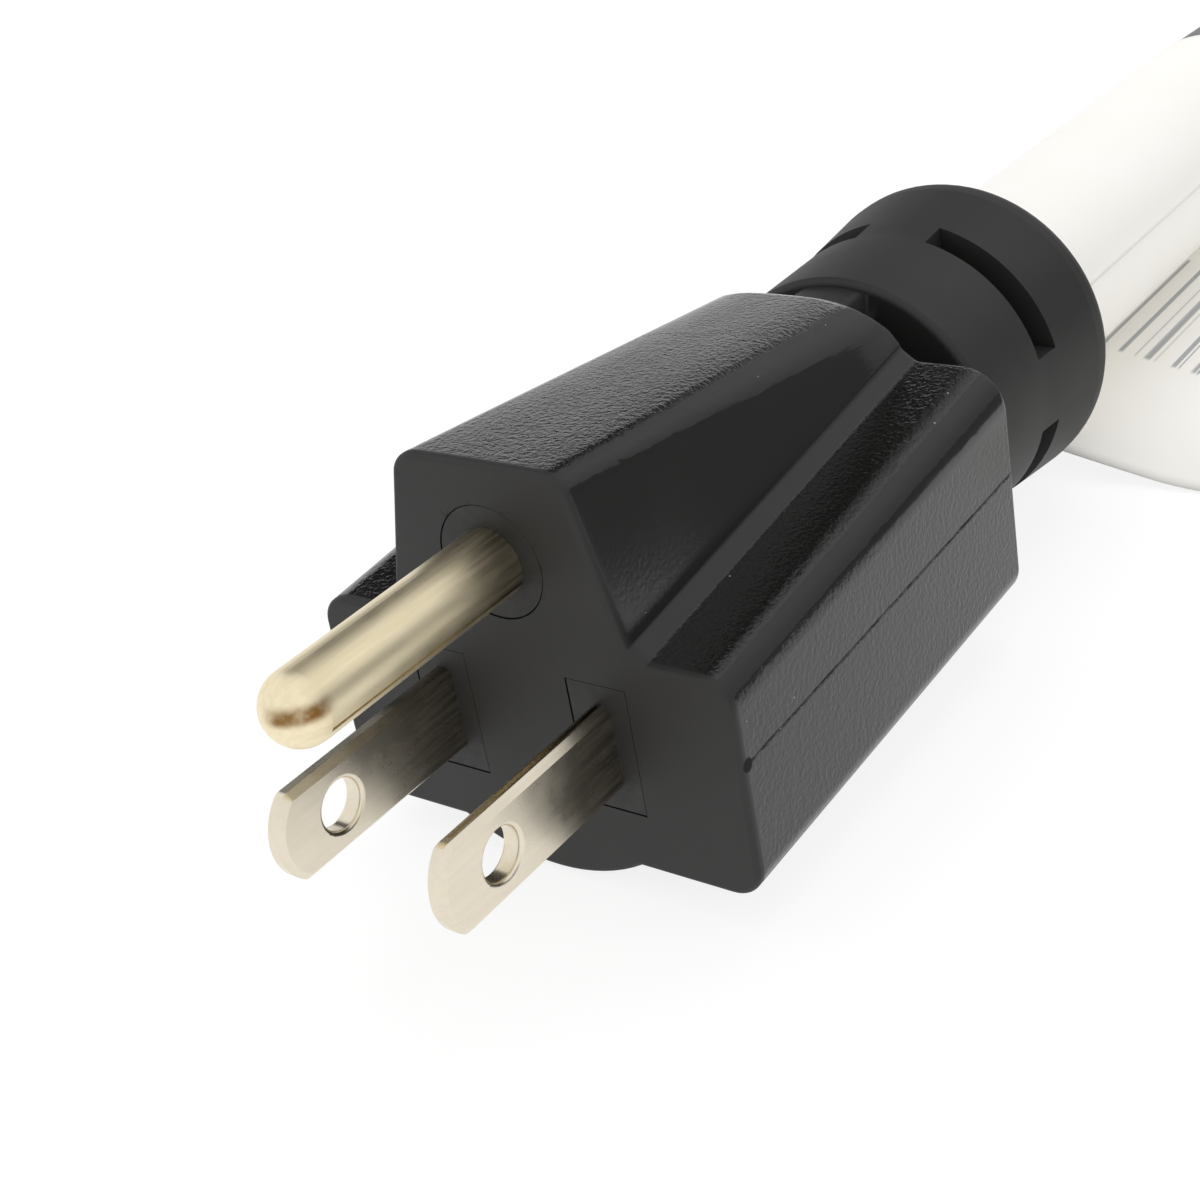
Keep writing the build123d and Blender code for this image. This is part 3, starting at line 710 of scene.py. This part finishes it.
# %% Make the copper and brass
def drawn_metal(name, dark, light, roughness, drawn):
    """Bare metal with streaks along one axis."""
    material, tree, shader, place = new_material(name)
    drawn_out = add_node(tree, "ShaderNodeMapping", {"Vector": place, "Scale": drawn})["Vector"]
    fine = {"Vector": drawn_out, "Scale": per_mm(0.4), "Detail": 4.0}
    streaks = add_node(tree, "ShaderNodeTexNoise", fine)["Fac"]
    tones = {"Factor": streaks, "A": linear(dark), "B": linear(light)}
    colour = add_node(tree, "ShaderNodeMix", tones, data_type="RGBA")["Result"]
    least, most = roughness - 0.05, roughness + 0.05
    dulled = {"Value": streaks, "From Min": 0.25, "From Max": 0.75, "To Min": least, "To Max": most}
    varied = add_node(tree, "ShaderNodeMapRange", dulled, interpolation_type="SMOOTHSTEP")["Result"]
    finish_shader(tree, shader, colour, varied, streaks, 0.5, 0.02 * MM)
    shader.inputs["Metallic"].default_value = 1.0
    return material


strand_copper = drawn_metal("bare_copper_strands", "#a8623f", "#d08a62", 0.35, (1, 0.15, 1))
contact_brass = drawn_metal("stamped_brass_contact", "#a98540", "#d3ad62", 0.3, (0.1, 1, 1))
wires = ("line", "neutral", "ground")
dress(strand_copper, *[f"{end}_{wire}_strands" for end in ("plug", "outlet") for wire in wires])
dress(contact_brass, *[f"outlet_{wire}_contact" for wire in wires])

# %% Make the wire insulation
insulation_colours = {
    "line": ("#161617", "#202021"),
    "neutral": ("#dddcd6", "#ecebe6"),
    "ground": ("#1d6b34", "#267a3e"),
}
for wire, (dark, light) in insulation_colours.items():
    cover = smooth_pvc(f"{wire}_insulation_pvc", dark, light, 0.4)
    dress(cover, f"plug_{wire}_insulation", f"outlet_{wire}_insulation")

# %% [markdown]
# ## Floor and light
# Product pictures like this are taken on a white table under soft light. Black plastic shows that
# light only as a sheen, so what it mirrors matters as much as what lights it. The world is an even
# white, and two large lamps give the tops and the right side a little more. The floor is pale: to the
# camera and in reflections it glows up to white, and it still darkens softly under the part. What glows
# only in some views can't be sampled as a lamp, so sampling is off for the stage and the world.

# %% Build the floor
def any_view(tree):
    """One for what the camera sees straight, in a reflection or through glass."""
    seen = add_node(tree, "ShaderNodeLightPath")
    either = {0: seen["Is Camera Ray"], 1: seen["Is Glossy Ray"]}
    mirrored = add_node(tree, "ShaderNodeMath", either, operation="MAXIMUM")["Value"]
    any_of_three = {0: mirrored, 1: seen["Is Transmission Ray"]}
    return add_node(tree, "ShaderNodeMath", any_of_three, operation="MAXIMUM")["Value"]


def bare_material(name):
    """A material with only its output, for the stage."""
    material = bpy.data.materials.new(name)
    material.use_nodes = True
    material.cycles.emission_sampling = "NONE"
    tree = material.node_tree
    tree.nodes.remove(tree.nodes["Principled BSDF"])
    return material, tree, tree.nodes["Material Output"].inputs["Surface"]


def stage_piece(bm, name, material):
    """Makes a bmesh part of the stage, not of the object."""
    mesh = bpy.data.meshes.new(name)
    bm.to_mesh(mesh)
    bm.free()
    mesh.materials.append(material)
    piece = bpy.data.objects.new(name, mesh)
    bpy.context.scene.collection.objects.link(piece)
    return piece


floor_half = 1.2
paper, tree, surface = bare_material("white_paper_floor")
lit = add_node(tree, "ShaderNodeBsdfDiffuse", {"Color": linear("#e6e6e4")})["BSDF"]
faint = add_node(tree, "ShaderNodeBsdfDiffuse", {"Color": linear("#808080")})["BSDF"]
white = linear("#ffffff")
glow = add_node(tree, "ShaderNodeEmission", {"Color": white, "Strength": 0.84})["Emission"]
shown = add_node(tree, "ShaderNodeAddShader", {0: faint, 1: glow})["Shader"]
choice = {0: any_view(tree), 1: lit, 2: shown}
tree.links.new(add_node(tree, "ShaderNodeMixShader", choice)["Shader"], surface)
ground = bmesh.new()
bmesh.ops.create_grid(ground, x_segments=1, y_segments=1, size=floor_half)
stage_piece(ground, "floor", paper)
print("floor is", 2 * floor_half, "m wide")

# %% [markdown]
# Two curved cards stand round the back of the plug, as a photographer's flags do. Only reflections see
# them. The one on the right is dark at the foot and pales upwards: it darkens the right-hand corners
# and the hump's flank. The black one hangs on the left, above the height that the hump's top mirrors,
# and darkens the tops of the wings. Its side pales, so that the hump's shoulder turns dark gradually.

# %% Stand the cards
def curved_card(name, start, end, foot, top, fades_up, fade, glow):
    """A curved card round the origin, whose glow changes with height or with azimuth."""
    radius, steps = 145 * MM, 24
    material, tree, surface = bare_material(name)
    place = add_node(tree, "ShaderNodeTexCoord")["Object"]
    spot = add_node(tree, "ShaderNodeSeparateXYZ", {"Vector": place})
    way = spot["Z"]
    if not fades_up:
        way = add_node(tree, "ShaderNodeMath", {0: spot["Y"], 1: spot["X"]}, operation="ARCTAN2")["Value"]
    near, far = fade
    dim, bright = glow
    fading = {"Value": way, "From Min": near, "From Max": far, "To Min": dim, "To Max": bright}
    strength = add_node(tree, "ShaderNodeMapRange", fading, interpolation_type="SMOOTHSTEP")["Result"]
    shade = add_node(tree, "ShaderNodeEmission", {"Color": white, "Strength": strength})["Emission"]
    tree.links.new(shade, surface)
    angles = [math.radians(start + (end - start) * i / steps) for i in range(steps + 1)]
    bm = bmesh.new()
    arc = [Vector((radius * math.cos(a), radius * math.sin(a), foot)) for a in angles]
    foot_edge = edge_chain(bm, arc)
    raised = bmesh.ops.extrude_edge_only(bm, edges=foot_edge)["geom"]
    top_edge = [g for g in raised if isinstance(g, bmesh.types.BMVert)]
    bmesh.ops.translate(bm, verts=top_edge, vec=(0, 0, top - foot))
    card = stage_piece(bm, name, material)
    card.visible_camera = False
    card.visible_diffuse = False
    card.visible_shadow = False
    print(name, "spans", end - start, "degrees")


soft_side = (math.radians(78), math.radians(120))
curved_card("graded_card", -12, 70, 0.0, 110 * MM, True, (50 * MM, 110 * MM), (0.22, 1.0))
curved_card("hung_card", 78, 165, 84 * MM, 280 * MM, False, soft_side, (0.75, 0.01))

# %% [markdown]
# The world gives most of the light. It is dimmer for what it lights than for what sees it, so that the
# background is white while the label keeps its tone. The two lamps are left out of reflections, because
# the metal would show them as hard bright squares.

# %% Light the table
world = bpy.data.worlds.new("white_room")
bpy.context.scene.world = world
world.use_nodes = True
world.cycles.sampling_method = "NONE"
tree = world.node_tree
brightness = {"Value": any_view(tree), "To Min": 0.64, "To Max": 1.0}
strength = add_node(tree, "ShaderNodeMapRange", brightness, interpolation_type="SMOOTHSTEP")["Result"]
tree.links.new(strength, tree.nodes["Background"].inputs["Strength"])
tree.nodes["Background"].inputs["Color"].default_value = white


def soft_lamp(name, place, aim, size, watts):
    """A square lamp that faces a point."""
    data = bpy.data.lights.new(name, "AREA")
    data.shape = "SQUARE"
    data.size = size
    data.energy = watts
    lamp = bpy.data.objects.new(name, data)
    bpy.context.scene.collection.objects.link(lamp)
    lamp.visible_glossy = False
    lamp.location = place
    lamp.rotation_mode = "QUATERNION"
    lamp.rotation_quaternion = (Vector(aim) - Vector(place)).to_track_quat("-Z", "Y")
    print(name, watts, "W")


plug_middle = (0, 0, 0.015)
soft_lamp("table_top", (-0.25, 0.3, 0.7), plug_middle, 0.9, 3.0)
soft_lamp("side_fill", (0.7, -0.1, 0.35), plug_middle, 0.7, 1.2)
bpy.context.scene.view_settings.view_transform = "Standard"

# %% [markdown]
# The scene is brought up to date at the end.

bpy.context.view_layer.update()
